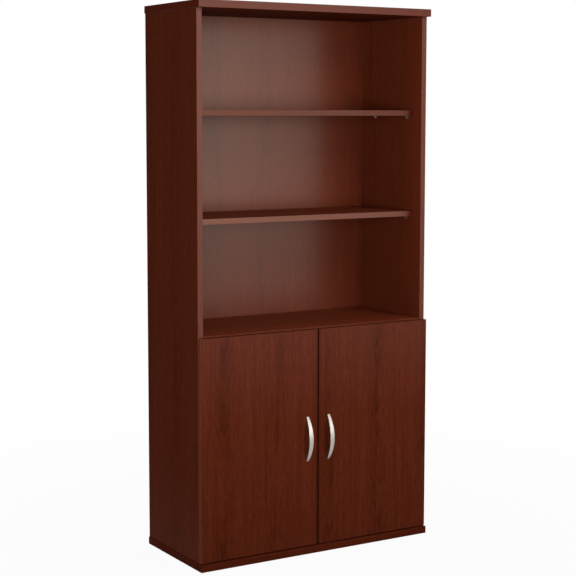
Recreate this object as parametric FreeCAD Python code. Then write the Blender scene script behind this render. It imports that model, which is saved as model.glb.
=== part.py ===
import FreeCAD, Part
import os

# A tall office bookcase: two slabs, two sides, a fixed shelf, three loose shelves, a nailed back
# and two overlay doors on concealed four-bar hinges.
# Millimetres. X to the right, Y to the back, Z up.
# The origin is the centre of the base slab's underside, on the floor.

Vector = FreeCAD.Vector
UP = Vector(0, 0, 1)
DOWN = Vector(0, 0, -1)
TO_BACK = Vector(0, 1, 0)
TO_FRONT = Vector(0, -1, 0)
TO_RIGHT = Vector(1, 0, 0)
ORIGIN = Vector(0, 0, 0)
TOUCH = 1e-4

# ---- Whole case ----
HEIGHT = 1849.0
SLAB_WIDTH = 906.0
SLAB_DEPTH = 390.0
SLAB_THICK = 25.0
SLAB_SIDE_REVEAL = 3.0
SLAB_FRONT_REVEAL = 21.5
PANEL_THICK = 19.0
FIXED_SHELF_TOP = 775.0

# ---- Edge bands ----
SLAB_BAND = 2.0
SLAB_ROUND = 1.5
BAND = 1.0
BAND_ROUND = 0.8

# ---- Back ----
BACK_THICK = 3.2
BACK_LAP = 9.0
BACK_RECESS = 0.3
BACK_CLEAR = 0.5
NAIL_RADIUS = 0.9
NAIL_HEAD_RADIUS = 2.4
NAIL_HEAD_THICK = 0.6
NAIL_LENGTH = 18.0
NAIL_SPACING = 190.0
NAIL_END_GAP = 40.0

# ---- Loose shelves and their supports ----
LOOSE_SHELF_THICK = 19.0
LOOSE_SHELF_SETBACK = 46.6
LOOSE_SHELF_SIDE_CLEAR = 1.0
LOOSE_SHELF_BACK_CLEAR = 2.0
LOOSE_SHELF_REST_CLEAR = 0.05
TOP_SHELF_UNDER = 1483.5
MIDDLE_SHELF_UNDER = 1131.5
LOWER_SHELF_UNDER = 381.0
HOLE_PITCH = 32.0
HOLES_EACH_WAY = 2
HOLE_RADIUS = 2.5
HOLE_DEPTH = 11.0
HOLE_FRONT_SETBACK = 84.5
HOLE_BACK_SETBACK = 89.5
PEG_CLEAR = 0.05
PEG_LENGTH = 9.0
PEG_BELOW_SHELF = 5.5
SUPPORT_PLATE_THICK = 1.2
SUPPORT_WIDTH = 14.0
SUPPORT_DROP = 9.5
SUPPORT_REACH = 13.0
SUPPORT_ROUND = 3.0

# ---- Case joints ----
DOWEL_RADIUS = 4.0
DOWEL_CLEAR = 0.05
DOWEL_IN_SLAB = 15.0
DOWEL_IN_PANEL = 20.0
DOWEL_IN_SIDE = 12.0
DOWEL_END_CLEAR = 1.0
DOWEL_CHAMFER = 0.8
JOINT_FRONT_INSET = 45.0
JOINT_BACK_INSET = 50.0
CAM_RADIUS = 7.5
CAM_DEPTH = 13.5
CAM_INSET = 34.0
CAM_CLEAR = 0.1
CAM_FROM_DOWEL = 32.0
CAM_MOUTH_RADIUS = 3.2
CAM_CROSS_LENGTH = 8.0
CAM_CROSS_WIDTH = 1.6
CAM_CROSS_DEPTH = 2.0
BOLT_RADIUS = 3.0
BOLT_NECK_RADIUS = 1.8
BOLT_NECK_LENGTH = 6.0
BOLT_HEAD_RADIUS = 2.8
BOLT_HEAD_LENGTH = 3.0
BOLT_IN_SIDE = 11.0
BASE_SCREW_RADIUS = 2.2
BASE_SCREW_HEAD_RADIUS = 4.4
BASE_SCREW_LENGTH = 60.0
BASE_SCREW_SINK = 0.6
BASE_SCREW_TIP = 4.0
SCREW_FROM_DOWEL = 32.0

# ---- Doors ----
DOOR_THICK = 14.0
DOOR_STANDOFF = 1.2
DOOR_TOP = 770.0
DOOR_BOTTOM = 28.0
DOOR_SPLIT = 5.0
BUMPER_RADIUS = 4.0
BUMPER_CLEAR = 0.1
BUMPER_EDGE_INSET = 14.0

# ---- Pulls ----
PULL_LENGTH = 153.0
PULL_RISE = 27.0
PULL_FOOT_LENGTH = 17.0
PULL_MIDDLE_THICK = 6.0
PULL_MIDDLE_WIDTH = 16.0
PULL_END_WIDTH = 10.0
PULL_ROUND = 1.8
PULL_CENTRE_HEIGHT = 397.0
PULL_FROM_SPLIT = 39.5
PULL_HOLE_SPACING = 136.0
PULL_SCREW_RADIUS = 2.0
PULL_SCREW_CLEAR = 0.25
PULL_SCREW_GRIP = 5.5
PULL_SCREW_HEAD_RADIUS = 4.0
PULL_SCREW_HEAD_HEIGHT = 1.0
PULL_SCREW_CROWN_RADIUS = 2.8

# ---- Concealed hinges ----
# A plan place is (inward, forward): inward from the side's outer face, forward from its front edge.
# Places on the arm and the bends beside the panel count inward from the side's inner face.
# Places in the cup count inward from the cup's centre, and forward from the door's inside face.
HINGE_FROM_DOOR_END = 92.0
ARM_LONG_PIN = (12.2, -15.8)
ARM_SHORT_PIN = (19.0, -18.0)
CUP_LONG_PIN = (-13.0, 2.8)
CUP_SHORT_PIN = (-11.55, 8.1)
LONG_LINK_PANEL_BENDS = [(3.35, -9.0), (2.05, -1.5), (1.65, 2.6)]
LONG_LINK_CUP_BEND = (-7.7, 4.8)
SHORT_LINK_PANEL_BENDS = [(14.5, -8.0), (9.0, 1.0)]
SHORT_LINK_CUP_BENDS = [(3.5, 4.8), (-0.5, 7.7)]
PIVOT_RADIUS = 1.0
PIVOT_CLEAR = 0.15
OPEN_SLOT_TRAVEL = 2.5
OPEN_SLOT_SIDE_PLAY = 0.6
LINK_HALF_WIDTH = 1.4
LINK_EYE_RADIUS = 2.0
SHORT_LINK_HALF_HEIGHT = 3.3
LONG_LINK_INNER = 3.7
LONG_LINK_OUTER = 5.1
ARM_INNER = 5.5
ARM_OUTER = 6.9
ARM_WEB = 1.4
ARM_PIN_END = 7.3
ARM_NOSE = [(9.0, -20.0), (9.0, -13.2), (14.0, -12.2), (21.6, -15.5), (21.6, -22.0)]
ARM_SHOULDER = (15.0, -36.0)
ARM_TAIL = (11.0, -62.0)
ARM_SKIRT = 3.5
ARM_SKIRT_FRONT = -30.0
ARM_WEB_FRONT = -26.0
CUP_RADIUS = 17.5
CUP_DEPTH = 11.5
CUP_WALL = 0.8
CUP_CENTRE_INSET = 21.5
CUP_CLEAR = 0.1
CUP_RIM = 1.6
CUP_FLANGE_THICK = 0.8
CUP_BOSS_REACH = 14.0
CUP_BOSS_LIP = 1.0
CUP_PIN_END = 7.5
CUP_SCREW_SPACING = 45.0
CUP_SCREW_OFFSET = 9.5
CUP_WING_RADIUS = 5.0
HINGE_SCREW_RADIUS = 1.75
HINGE_SCREW_LENGTH = 11.0
HINGE_SCREW_HEAD_RADIUS = 3.2
HINGE_SCREW_HEAD_HEIGHT = 1.3
HINGE_SCREW_RIM_HEIGHT = 0.5
HINGE_SCREW_CROWN_RADIUS = 1.9
PLATE_THICK = 1.5
PLATE_SCREW_SETBACK = 37.0
PLATE_SCREW_SPACING = 32.0
PLATE_WING_RADIUS = 6.5
PLATE_BODY_TOP = 9.0
PLATE_BODY_FRONT = 29.0
PLATE_SIDE_CLEAR = 0.2
ARM_SCREW_RADIUS = 2.6
ARM_SCREW_PLACES = (41.0, 55.0)
ARM_SCREW_RISE = 0.8

# ---- Places worked out from the sizes above ----
HALF_CASE = SLAB_WIDTH / 2 - SLAB_SIDE_REVEAL
HALF_INSIDE = HALF_CASE - PANEL_THICK
BACK_Y = SLAB_DEPTH / 2
SLAB_FRONT_Y = -SLAB_DEPTH / 2
CASE_FRONT_Y = SLAB_FRONT_Y + SLAB_FRONT_REVEAL
BACK_FACE_Y = BACK_Y - BACK_RECESS - BACK_THICK
TOP_UNDER_Z = HEIGHT - SLAB_THICK
BASE_TOP_Z = SLAB_THICK
FIXED_SHELF_UNDER = FIXED_SHELF_TOP - PANEL_THICK
FIXED_SHELF_MID_Z = FIXED_SHELF_TOP - PANEL_THICK / 2
SIDE_MID_X = HALF_CASE - PANEL_THICK / 2
HOLE_FRONT_Y = CASE_FRONT_Y + HOLE_FRONT_SETBACK
HOLE_BACK_Y = BACK_Y - HOLE_BACK_SETBACK
JOINT_FRONT_Y = CASE_FRONT_Y + JOINT_FRONT_INSET
JOINT_BACK_Y = BACK_Y - JOINT_BACK_INSET
JOINT_MIDDLE_Y = (JOINT_FRONT_Y + JOINT_BACK_Y) / 2
DOWEL_ROW = (JOINT_FRONT_Y, JOINT_MIDDLE_Y, JOINT_BACK_Y)
CAM_ROW = (JOINT_FRONT_Y + CAM_FROM_DOWEL, JOINT_BACK_Y - CAM_FROM_DOWEL)
BASE_SCREW_ROW = (JOINT_FRONT_Y + SCREW_FROM_DOWEL, JOINT_BACK_Y - SCREW_FROM_DOWEL)
DOOR_BACK_Y = CASE_FRONT_Y - DOOR_STANDOFF
DOOR_FRONT_Y = DOOR_BACK_Y - DOOR_THICK
PULL_X = DOOR_SPLIT / 2 + PULL_FROM_SPLIT
LOOSE_SHELVES = (("top", TOP_SHELF_UNDER), ("middle", MIDDLE_SHELF_UNDER), ("lower", LOWER_SHELF_UNDER))


# ---- Small tools ----
def block(x0, x1, y0, y1, z0, z1):
    return Part.makeBox(x1 - x0, y1 - y0, z1 - z0, Vector(x0, y0, z0))


def rod(radius, length, start, direction):
    return Part.makeCylinder(radius, length, start, direction)


def turned(profile, start, direction):
    """Solid of revolution from (radius, distance) points, its axis from start along direction."""
    points = [Vector(radius, 0, distance) for radius, distance in profile]
    outline = Part.makePolygon(points + points[:1])
    solid = Part.Face(outline).revolve(ORIGIN, UP, 360)
    solid.Placement = FreeCAD.Placement(start, FreeCAD.Rotation(UP, direction))
    return solid


def cut_all(body, tools):
    return body.cut(Part.makeCompound(tools)) if tools else body


def edges_along(shape, axis):
    """The shape's straight edges that run along the axis."""
    return [edge for edge in shape.Edges if abs(edge.tangentAt(edge.FirstParameter).dot(axis)) > 1 - TOUCH]


def mirrored(shape):
    return shape.mirror(ORIGIN, TO_RIGHT)


def on_side(shape, sign):
    """The shape as drawn for the left, sign -1, or its mirror image for the right, sign 1."""
    return mirrored(shape) if sign > 0 else shape


def save(name, *solids):
    shape = solids[0] if len(solids) == 1 else Part.makeCompound(list(solids))
    shape.exportStep("parts/" + name + ".step")


# ---- Banded boards ----
def banded_slab(z0):
    """A slab's core and its three edge bands, the front band covering the side bands' ends."""
    half = SLAB_WIDTH / 2
    z1 = z0 + SLAB_THICK
    band_back_y = SLAB_FRONT_Y + SLAB_BAND
    blank = block(-half, half, SLAB_FRONT_Y, BACK_Y, z0, z1)
    arrises = [edge for edge in blank.Edges if edge.CenterOfMass.y < BACK_Y - TOUCH]
    rounded = blank.makeFillet(SLAB_ROUND, arrises)
    core = block(-half + SLAB_BAND, half - SLAB_BAND, band_back_y, BACK_Y, z0, z1)
    front = rounded.common(block(-half, half, SLAB_FRONT_Y, band_back_y, z0, z1))
    left = rounded.common(block(-half, -half + SLAB_BAND, band_back_y, BACK_Y, z0, z1))
    return core, [front, left, mirrored(left)]


def front_banded(x0, x1, y0, y1, z0, z1, long_axis):
    """A board's core and the band on its front edge, the band's two long arrises rounded."""
    core = block(x0, x1, y0 + BAND, y1, z0, z1)
    band = block(x0, x1, y0, y0 + BAND, z0, z1)
    arrises = [edge for edge in edges_along(band, long_axis) if edge.CenterOfMass.y < y0 + TOUCH]
    return core, band.makeFillet(BAND_ROUND, arrises)


def banded_door(x0, x1):
    """A door's core and the four bands round it. The bands' front and back arrises are rounded."""
    blank = block(x0, x1, DOOR_FRONT_Y, DOOR_BACK_Y, DOOR_BOTTOM, DOOR_TOP)
    rounded = blank.makeFillet(BAND_ROUND, edges_along(blank, TO_RIGHT) + edges_along(blank, UP))
    core = block(x0 + BAND, x1 - BAND, DOOR_FRONT_Y, DOOR_BACK_Y, DOOR_BOTTOM + BAND, DOOR_TOP - BAND)
    left = block(x0, x0 + BAND, DOOR_FRONT_Y, DOOR_BACK_Y, DOOR_BOTTOM, DOOR_TOP)
    right = block(x1 - BAND, x1, DOOR_FRONT_Y, DOOR_BACK_Y, DOOR_BOTTOM, DOOR_TOP)
    top = block(x0 + BAND, x1 - BAND, DOOR_FRONT_Y, DOOR_BACK_Y, DOOR_TOP - BAND, DOOR_TOP)
    bottom = block(x0 + BAND, x1 - BAND, DOOR_FRONT_Y, DOOR_BACK_Y, DOOR_BOTTOM, DOOR_BOTTOM + BAND)
    return core, [rounded.common(strip) for strip in (left, right, top, bottom)]


# ---- Dowels, cams and screws of the case ----
def dowel(start, direction, length):
    """A round wooden peg with both ends chamfered."""
    tip = DOWEL_RADIUS - DOWEL_CHAMFER
    profile = [(0, 0), (tip, 0), (DOWEL_RADIUS, DOWEL_CHAMFER), (DOWEL_RADIUS, length - DOWEL_CHAMFER),
               (tip, length), (0, length)]
    return turned(profile, start, direction)


def dowel_hole(start, direction, length):
    mouth = start - direction * DOWEL_END_CLEAR
    return rod(DOWEL_RADIUS + DOWEL_CLEAR, length + 2 * DOWEL_END_CLEAR, mouth, direction)


def slab_dowel_places():
    """Start, direction and length of each peg between the sides and the two slabs."""
    places = []
    length = DOWEL_IN_SLAB + DOWEL_IN_PANEL
    for x in (-SIDE_MID_X, SIDE_MID_X):
        for y in DOWEL_ROW:
            places.append((Vector(x, y, TOP_UNDER_Z - DOWEL_IN_PANEL), UP, length))
            places.append((Vector(x, y, BASE_TOP_Z + DOWEL_IN_PANEL), DOWN, length))
    return places


def shelf_dowel_places():
    """Start, direction and length of each peg between the fixed shelf and the sides."""
    places = []
    for sign in (-1, 1):
        for y in DOWEL_ROW:
            start = Vector(sign * (HALF_INSIDE - DOWEL_IN_PANEL), y, FIXED_SHELF_MID_Z)
            places.append((start, TO_RIGHT * sign, DOWEL_IN_PANEL + DOWEL_IN_SIDE))
    return places


def cam_places():
    """Centre of each cam's mouth in the fixed shelf's underside, and the way its bolt leaves."""
    return [(Vector(sign * (HALF_INSIDE - CAM_INSET), y, FIXED_SHELF_UNDER), TO_RIGHT * sign)
            for sign in (-1, 1) for y in CAM_ROW]


def cam_lock(mouth, outward):
    """A round cam with a bolt channel through its flank and a cross slot in its face."""
    body = rod(CAM_RADIUS, CAM_DEPTH, mouth, UP)
    axis_height = FIXED_SHELF_MID_Z - FIXED_SHELF_UNDER
    behind_head = BOLT_HEAD_LENGTH / 2 + CAM_CLEAR
    channel_start = mouth + UP * axis_height - outward * behind_head
    channel = rod(CAM_MOUTH_RADIUS, CAM_RADIUS + CAM_CLEAR + behind_head, channel_start, outward)
    half_length = CAM_CROSS_LENGTH / 2
    half_width = CAM_CROSS_WIDTH / 2
    z1 = CAM_CROSS_DEPTH
    cross = block(-half_length, half_length, -half_width, half_width, 0, z1)
    cross = cross.fuse(block(-half_width, half_width, -half_length, half_length, 0, z1))
    return body.cut(channel).cut(cross.translated(mouth))


def cam_bolt(mouth, outward):
    """Its head sits at the cam's centre, and its other end is driven into the side."""
    head_end = BOLT_HEAD_LENGTH / 2
    neck_end = head_end + BOLT_NECK_LENGTH
    length = CAM_INSET + BOLT_IN_SIDE
    profile = [(0, -head_end), (BOLT_HEAD_RADIUS, -head_end), (BOLT_HEAD_RADIUS, head_end),
               (BOLT_NECK_RADIUS, head_end), (BOLT_NECK_RADIUS, neck_end), (BOLT_RADIUS, neck_end),
               (BOLT_RADIUS, length), (0, length)]
    axis = mouth + UP * (FIXED_SHELF_MID_Z - FIXED_SHELF_UNDER)
    return turned(profile, axis, outward)


def cam_bolt_hole(mouth, outward):
    axis = mouth + UP * (FIXED_SHELF_MID_Z - FIXED_SHELF_UNDER)
    return rod(BOLT_RADIUS + CAM_CLEAR, CAM_INSET + BOLT_IN_SIDE + CAM_CLEAR, axis, outward)


def base_screw_places():
    return [Vector(x, y, BASE_SCREW_SINK) for x in (-SIDE_MID_X, SIDE_MID_X) for y in BASE_SCREW_ROW]


def base_screw(place):
    """A countersunk screw up through the base slab into a side."""
    cone = BASE_SCREW_HEAD_RADIUS - BASE_SCREW_RADIUS
    profile = [(0, 0), (BASE_SCREW_HEAD_RADIUS, 0), (BASE_SCREW_RADIUS, cone),
               (BASE_SCREW_RADIUS, BASE_SCREW_LENGTH - BASE_SCREW_TIP), (0, BASE_SCREW_LENGTH)]
    return turned(profile, place, UP)


def base_screw_hole(place):
    mouth = rod(BASE_SCREW_HEAD_RADIUS, BASE_SCREW_SINK, Vector(place.x, place.y, 0), UP)
    return base_screw(place).fuse(mouth)


# ---- Loose shelves ----
def peg_rows():
    """Height of the peg holes that carry each loose shelf: top, middle and lower."""
    return [under - PEG_BELOW_SHELF for name, under in LOOSE_SHELVES]


def peg_holes(sign):
    """The rows of blind holes in one side's inner face."""
    holes = []
    for row in peg_rows():
        for step in range(-HOLES_EACH_WAY, HOLES_EACH_WAY + 1):
            for y in (HOLE_FRONT_Y, HOLE_BACK_Y):
                mouth = Vector(sign * HALF_INSIDE, y, row + step * HOLE_PITCH)
                holes.append(rod(HOLE_RADIUS, HOLE_DEPTH, mouth, TO_RIGHT * sign))
    return holes


def shelf_support(y, shelf_under):
    """An angle of sheet metal on a peg, drawn at the left side."""
    face_x = -HALF_INSIDE
    y0 = y - SUPPORT_WIDTH / 2
    y1 = y + SUPPORT_WIDTH / 2
    plate = block(face_x, face_x + SUPPORT_PLATE_THICK, y0, y1, shelf_under - SUPPORT_DROP, shelf_under)
    foot_z = shelf_under - SUPPORT_DROP + TOUCH
    lower = [edge for edge in edges_along(plate, TO_RIGHT) if edge.CenterOfMass.z < foot_z]
    plate = plate.makeFillet(SUPPORT_ROUND, lower)
    ledge = block(face_x, face_x + SUPPORT_REACH, y0, y1, shelf_under - SUPPORT_PLATE_THICK, shelf_under)
    tip_x = face_x + SUPPORT_REACH - TOUCH
    outer = [edge for edge in edges_along(ledge, UP) if edge.CenterOfMass.x > tip_x]
    ledge = ledge.makeFillet(SUPPORT_ROUND, outer)
    peg_start = Vector(face_x, y, shelf_under - PEG_BELOW_SHELF)
    peg = rod(HOLE_RADIUS - PEG_CLEAR, PEG_LENGTH, peg_start, TO_RIGHT * -1)
    return plate.fuse(ledge).fuse(peg).removeSplitter()


def shelf_supports(shelf_under):
    left = [shelf_support(y, shelf_under) for y in (HOLE_FRONT_Y, HOLE_BACK_Y)]
    return left + [mirrored(support) for support in left]


def loose_shelf(name, shelf_under):
    half = HALF_INSIDE - LOOSE_SHELF_SIDE_CLEAR
    front_y = CASE_FRONT_Y + LOOSE_SHELF_SETBACK
    back_y = BACK_FACE_Y - LOOSE_SHELF_BACK_CLEAR
    z0 = shelf_under + LOOSE_SHELF_REST_CLEAR
    core, band = front_banded(-half, half, front_y, back_y, z0, z0 + LOOSE_SHELF_THICK, TO_RIGHT)
    save(name, core)
    save(name + "_edging", band)


# ---- Hinges ----
def plan(place):
    """World point at z 0 of a plan place beside the left side panel."""
    return Vector(-HALF_CASE + place[0], CASE_FRONT_Y - place[1], 0)


def by_panel(place):
    return (PANEL_THICK + place[0], place[1])


def by_cup(place):
    return (CUP_CENTRE_INSET + place[0], DOOR_STANDOFF + place[1])


def plan_prism(places, z0, z1):
    points = [plan(place) + UP * z0 for place in places]
    return Part.Face(Part.makePolygon(points + points[:1])).extrude(UP * (z1 - z0))


def capsule(first, second, radius, z0, z1):
    """A straight bar with round ends between two plan places."""
    start = plan(first) + UP * z0
    end = plan(second) + UP * z0
    across = UP.cross(end - start).normalize() * radius
    corners = [start + across, end + across, end - across, start - across]
    bar = Part.Face(Part.makePolygon(corners + corners[:1])).extrude(UP * (z1 - z0))
    return bar.fuse([rod(radius, z1 - z0, start, UP), rod(radius, z1 - z0, end, UP)])


def strap(places, radius, z0, z1):
    """A bent bar through the plan places, rounded at each bend."""
    pieces = [capsule(first, second, radius, z0, z1) for first, second in zip(places, places[1:])]
    return pieces[0].fuse(pieces[1:]).removeSplitter()


def pivot(place, radius, z0, z1):
    return rod(radius, z1 - z0, plan(place) + UP * z0, UP)


def long_link():
    """Two bent cheeks tied by a bar. They pass round the side's front corner and into the cup."""
    z0 = LONG_LINK_INNER
    z1 = LONG_LINK_OUTER
    ends = [by_panel(ARM_LONG_PIN), by_cup(CUP_LONG_PIN)]
    bends = [by_panel(place) for place in LONG_LINK_PANEL_BENDS] + [by_cup(LONG_LINK_CUP_BEND)]
    cheek = strap(ends[:1] + bends + ends[1:], LINK_HALF_WIDTH, z0, z1)
    cheek = cheek.fuse([pivot(end, LINK_EYE_RADIUS, z0, z1) for end in ends])
    cheek = cut_all(cheek, [pivot(end, PIVOT_RADIUS + PIVOT_CLEAR, z0, z1) for end in ends])
    other = cheek.mirror(ORIGIN, UP)
    tie = pivot(bends[0], LINK_HALF_WIDTH, -z0, z0)
    return cheek.fuse([other, tie]).removeSplitter()


def short_link():
    """A thick hooked bar. Its slot on the arm's pin is the linkage's open pivot."""
    z0 = -SHORT_LINK_HALF_HEIGHT
    z1 = SHORT_LINK_HALF_HEIGHT
    arm_eye = by_panel(ARM_SHORT_PIN)
    cup_eye = by_cup(CUP_SHORT_PIN)
    away = (plan(arm_eye) - plan(cup_eye)).normalize() * OPEN_SLOT_TRAVEL
    slot_end = (arm_eye[0] + away.x, arm_eye[1] - away.y)
    bends = [by_panel(place) for place in SHORT_LINK_PANEL_BENDS]
    bends += [by_cup(place) for place in SHORT_LINK_CUP_BENDS]
    hole_radius = PIVOT_RADIUS + PIVOT_CLEAR
    slot = capsule(arm_eye, slot_end, hole_radius + OPEN_SLOT_SIDE_PLAY, z0, z1)
    slot_wall = capsule(arm_eye, slot_end, LINK_EYE_RADIUS + OPEN_SLOT_SIDE_PLAY, z0, z1)
    link = strap([arm_eye] + bends + [cup_eye], LINK_HALF_WIDTH, z0, z1)
    link = link.fuse([pivot(cup_eye, LINK_EYE_RADIUS, z0, z1), slot_wall])
    return cut_all(link, [pivot(cup_eye, hole_radius, z0, z1), slot]).removeSplitter()


def arm_pins():
    places = (by_panel(ARM_LONG_PIN), by_panel(ARM_SHORT_PIN))
    return [pivot(place, PIVOT_RADIUS, -ARM_PIN_END, ARM_PIN_END) for place in places]


def hinge_arm():
    """A pressed channel: a deep nose round the two pins, then a web that slopes to the tail."""
    tail_back = ARM_TAIL[1]
    skirt = [(ARM_SKIRT, tail_back), (ARM_SKIRT, ARM_SKIRT_FRONT)]
    outline = ARM_NOSE + [ARM_SHOULDER, ARM_TAIL] + skirt
    outside = plan_prism([by_panel(place) for place in outline], -ARM_OUTER, ARM_OUTER)
    web_under = [(arm_rise(forward), forward) for forward in (ARM_WEB_FRONT, ARM_SHOULDER[1], tail_back)]
    open_front = [(0, tail_back), (0, 0), (HALF_INSIDE, 0), (HALF_INSIDE, ARM_WEB_FRONT)]
    hollow = plan_prism([by_panel(place) for place in open_front + web_under], -ARM_INNER, ARM_INNER)
    return cut_all(outside.cut(hollow), arm_pins() + arm_screws())


def arm_rise(forward):
    """Height of the web's hollow side above the panel, at a place forward of the side's edge."""
    ridge = (ARM_NOSE[-1], ARM_SHOULDER, ARM_TAIL)
    near, far = ridge[:2] if forward > ARM_SHOULDER[1] else ridge[1:]
    share = (forward - near[1]) / (far[1] - near[1])
    return near[0] + share * (far[0] - near[0]) - ARM_WEB


def arm_screws():
    """Two clamp screws from the arm's web down into the mounting plate."""
    screws = []
    for setback in ARM_SCREW_PLACES:
        start = plan((PANEL_THICK + PLATE_THICK, -setback))
        length = arm_rise(-setback) + ARM_WEB + ARM_SCREW_RISE - PLATE_THICK
        screws.append(rod(ARM_SCREW_RADIUS, length, start, TO_RIGHT))
    return screws


def mounting_plate():
    """Two screwed wings and a raised body that the arm straddles."""
    face_x = plan((PANEL_THICK, 0)).x
    wing_y = plan((0, -PLATE_SCREW_SETBACK)).y
    half = PLATE_SCREW_SPACING / 2
    wings = [rod(PLATE_WING_RADIUS, PLATE_THICK, Vector(face_x, wing_y, z), TO_RIGHT) for z in (-half, half)]
    bridge = block(face_x, face_x + PLATE_THICK, wing_y - PLATE_WING_RADIUS,
                   wing_y + PLATE_WING_RADIUS, -half, half)
    inner = ARM_INNER - PLATE_SIDE_CLEAR
    body = block(face_x, face_x + PLATE_BODY_TOP, CASE_FRONT_Y + PLATE_BODY_FRONT,
                 CASE_FRONT_Y - ARM_TAIL[1], -inner, inner)
    plate = bridge.fuse(wings + [body]).removeSplitter()
    return cut_all(plate, plate_screws() + arm_screws())


def pan_screw(under_head, direction):
    """A domed-head wood screw. Its head's underside is at the given point."""
    edge = HINGE_SCREW_HEAD_RADIUS
    crown = -HINGE_SCREW_HEAD_HEIGHT
    tip = HINGE_SCREW_LENGTH - HINGE_SCREW_RADIUS
    profile = [(0, crown), (HINGE_SCREW_CROWN_RADIUS, crown), (edge, -HINGE_SCREW_RIM_HEIGHT), (edge, 0),
               (HINGE_SCREW_RADIUS, 0), (HINGE_SCREW_RADIUS, tip), (0, HINGE_SCREW_LENGTH)]
    return turned(profile, under_head, direction)


def plate_screws():
    half = PLATE_SCREW_SPACING / 2
    place = plan((PANEL_THICK + PLATE_THICK, -PLATE_SCREW_SETBACK))
    return [pan_screw(place + UP * z, TO_RIGHT * -1) for z in (-half, half)]


def cup_screws():
    half = CUP_SCREW_SPACING / 2
    place = plan((CUP_CENTRE_INSET + CUP_SCREW_OFFSET, DOOR_STANDOFF - CUP_FLANGE_THICK))
    return [pan_screw(place + UP * z, TO_FRONT) for z in (-half, half)]


def cup_bore():
    radius = CUP_RADIUS + CUP_CLEAR
    return rod(radius, CUP_DEPTH + CUP_CLEAR, plan((CUP_CENTRE_INSET, DOOR_STANDOFF)), TO_FRONT)


def hinge_cup():
    """A drawn cup with a rim, two screw wings and two inner bosses that hold the pins."""
    mouth = plan((CUP_CENTRE_INSET, DOOR_STANDOFF))
    inside = CUP_RADIUS - CUP_WALL
    floor = CUP_DEPTH - CUP_WALL
    rim = CUP_RADIUS + CUP_RIM
    profile = [(inside, -CUP_FLANGE_THICK), (rim, -CUP_FLANGE_THICK), (rim, 0), (CUP_RADIUS, 0),
               (CUP_RADIUS, CUP_DEPTH), (0, CUP_DEPTH), (0, floor), (inside, floor)]
    cup = turned(profile, mouth, TO_FRONT)
    half = CUP_SCREW_SPACING / 2
    wing_centre = plan((CUP_CENTRE_INSET + CUP_SCREW_OFFSET, DOOR_STANDOFF))
    wings = [rod(CUP_WING_RADIUS, CUP_FLANGE_THICK, wing_centre + UP * z, TO_BACK) for z in (-half, half)]
    bridge = block(wing_centre.x - CUP_WING_RADIUS, wing_centre.x + CUP_WING_RADIUS, wing_centre.y,
                   wing_centre.y + CUP_FLANGE_THICK, -half, half)
    flange = bridge.fuse(wings).cut(rod(inside, CUP_FLANGE_THICK, mouth, TO_BACK))
    boss_places = [(0, DOOR_STANDOFF + CUP_BOSS_LIP), (CUP_BOSS_REACH, DOOR_STANDOFF + CUP_BOSS_LIP),
                   (CUP_BOSS_REACH, DOOR_STANDOFF + CUP_DEPTH), (0, DOOR_STANDOFF + CUP_DEPTH)]
    boss = plan_prism(boss_places, ARM_INNER, CUP_RADIUS)
    boss = boss.common(rod(inside + CUP_WALL / 2, floor + CUP_WALL / 2, mouth, TO_FRONT))
    cup = cup.fuse([flange, boss, boss.mirror(ORIGIN, UP)]).removeSplitter()
    return cut_all(cup, cup_pins() + cup_screws())


def cup_pins():
    """The short link's pin runs right across, and the long link has a stub at each cheek."""
    across = pivot(by_cup(CUP_SHORT_PIN), PIVOT_RADIUS, -CUP_PIN_END, CUP_PIN_END)
    stub = pivot(by_cup(CUP_LONG_PIN), PIVOT_RADIUS, LONG_LINK_INNER, CUP_PIN_END)
    return [across, stub, stub.mirror(ORIGIN, UP)]


def hinge_heights():
    return [DOOR_BOTTOM + HINGE_FROM_DOOR_END, DOOR_TOP - HINGE_FROM_DOOR_END]


def at_both_hinges(shapes, sign):
    """The hinge pieces, drawn at height 0 for the left, at each hinge of one door."""
    return [on_side(shape, sign).translated(UP * height) for height in hinge_heights() for shape in shapes]


# ---- Pulls ----
def arc_through(start, middle, end):
    return Part.Arc(start, middle, end).toShape()


def pull():
    """A bowed grip, drawn at x 0 and height 0: a bow in side view, a slim lens in front view."""
    half = PULL_LENGTH / 2
    foot = half - PULL_FOOT_LENGTH
    face_y = DOOR_FRONT_Y
    crown_y = face_y - PULL_RISE
    bottom = Vector(0, face_y, -half)
    top = Vector(0, face_y, half)
    inner_bottom = Vector(0, face_y, -foot)
    inner_top = Vector(0, face_y, foot)
    side_view = Part.Wire([arc_through(bottom, Vector(0, crown_y, 0), top), Part.makeLine(top, inner_top),
                           arc_through(inner_top, Vector(0, crown_y + PULL_MIDDLE_THICK, 0), inner_bottom),
                           Part.makeLine(inner_bottom, bottom)])
    wide = PULL_MIDDLE_WIDTH / 2
    narrow = PULL_END_WIDTH / 2
    bow = Part.Face(side_view).extrude(TO_RIGHT * PULL_MIDDLE_WIDTH).translated(TO_RIGHT * -wide)
    left_bottom = Vector(-narrow, face_y, -half)
    left_top = Vector(-narrow, face_y, half)
    right_bottom = Vector(narrow, face_y, -half)
    right_top = Vector(narrow, face_y, half)
    front_view = Part.Wire([arc_through(left_bottom, Vector(-wide, face_y, 0), left_top),
                            Part.makeLine(left_top, right_top),
                            arc_through(right_top, Vector(wide, face_y, 0), right_bottom),
                            Part.makeLine(right_bottom, left_bottom)])
    lens = Part.Face(front_view).extrude(TO_FRONT * PULL_RISE)
    grip = bow.common(lens)
    long_edges = [edge for edge in grip.Edges if edge.Length > PULL_LENGTH / 2]
    grip = grip.makeFillet(PULL_ROUND, long_edges)
    return cut_all(grip, [pull_screw_hole(z) for z in (-PULL_HOLE_SPACING / 2, PULL_HOLE_SPACING / 2)])


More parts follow.
